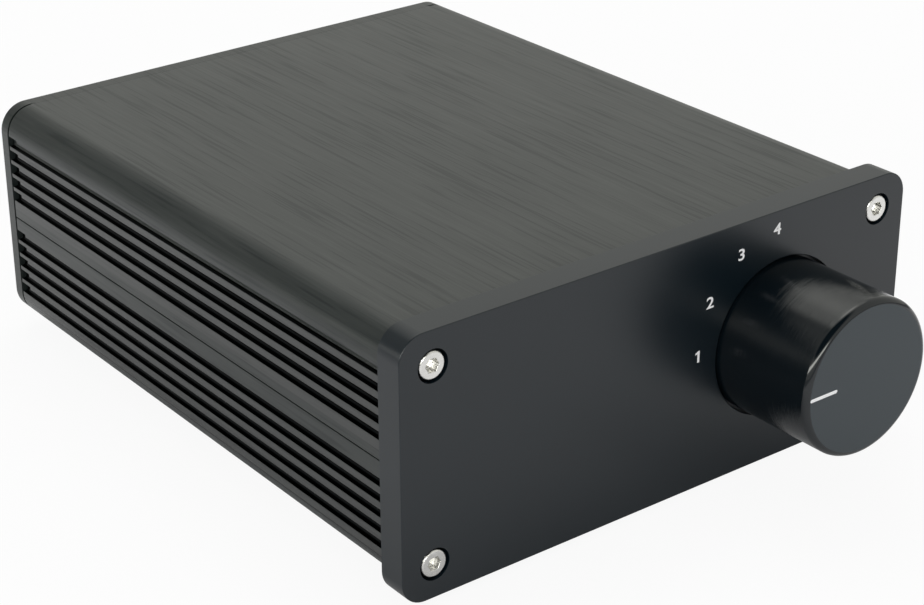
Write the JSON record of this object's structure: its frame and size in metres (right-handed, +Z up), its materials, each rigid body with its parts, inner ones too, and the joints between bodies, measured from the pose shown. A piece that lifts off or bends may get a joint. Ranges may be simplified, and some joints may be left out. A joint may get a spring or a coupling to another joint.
{
  "type": "audio source selector",
  "caption": "Flat ribbed metal box with a thick front plate, one large stepped selector knob and paired round phono jacks at the rear.",
  "frame": {"origin": "centre of the outline, on the surface that the feet stand on", "axes": "+X to the right seen from the front, +Y from the front to the rear, +Z up"},
  "size_m": [0.099, 0.1458, 0.0443],
  "materials": {
    "anodised_case": "fine brushed, dark grey anodised",
    "anodised_plate": "bead blasted, dark grey anodised",
    "knob_metal": "turned, gloss side and satin face",
    "stainless": "plain stainless",
    "black_screw": "black oxide",
    "switch_steel": "zinc plated",
    "switch_brass": "nickel plated brass",
    "contact_metal": "gold flashed",
    "jack_metal": "nickel plated",
    "black_plastic": "moulded, satin",
    "natural_plastic": "moulded, satin",
    "white_plastic": "moulded, gloss",
    "red_plastic": "moulded, gloss",
    "board_laminate": "green solder mask",
    "foot_rubber": "matt black"
  },
  "bodies": {
    "case": {"top_shell": "anodised_case", "bottom_shell": "anodised_case", "front_panel": "anodised_plate", "rear_panel": "anodised_plate", "front_screws": "stainless", "rear_screws": "stainless", "rubber_feet": "foot_rubber", "switch_bushing": "switch_brass", "switch_washer": "switch_steel", "switch_nut": "switch_brass", "switch_plate": "switch_steel", "index_ring": "switch_steel", "stop_plate": "switch_steel", "front_wafer": "board_laminate", "rear_wafer": "board_laminate", "wafer_contacts": "contact_metal", "wafer_pins": "contact_metal", "switch_spacers": "switch_brass", "switch_back_plate": "switch_steel", "tie_screws": "switch_steel", "main_board": "board_laminate", "jack_blocks": "black_plastic", "jack_barrels": "jack_metal", "white_insulators": "white_plastic", "red_insulators": "red_plastic", "jack_contacts": "contact_metal", "jack_pins": "contact_metal", "jack_screws": "black_screw"},
    "knob": {"knob": "knob_metal", "knob_set_screw": "black_screw", "switch_shaft": "switch_brass", "shaft_clip": "switch_steel", "index_rotor": "natural_plastic", "index_balls": "switch_steel", "index_springs": "switch_steel", "front_rotor": "natural_plastic", "rear_rotor": "natural_plastic", "wipers": "contact_metal"}
  },
  "joints": [
    {"name": "knob_turn", "type": "hinge", "parent": "case", "child": "knob", "pos_m": [0.0232, 0, 0.0229], "axis": [0, 1, 0], "range_deg": [0, 90]}
  ]
}
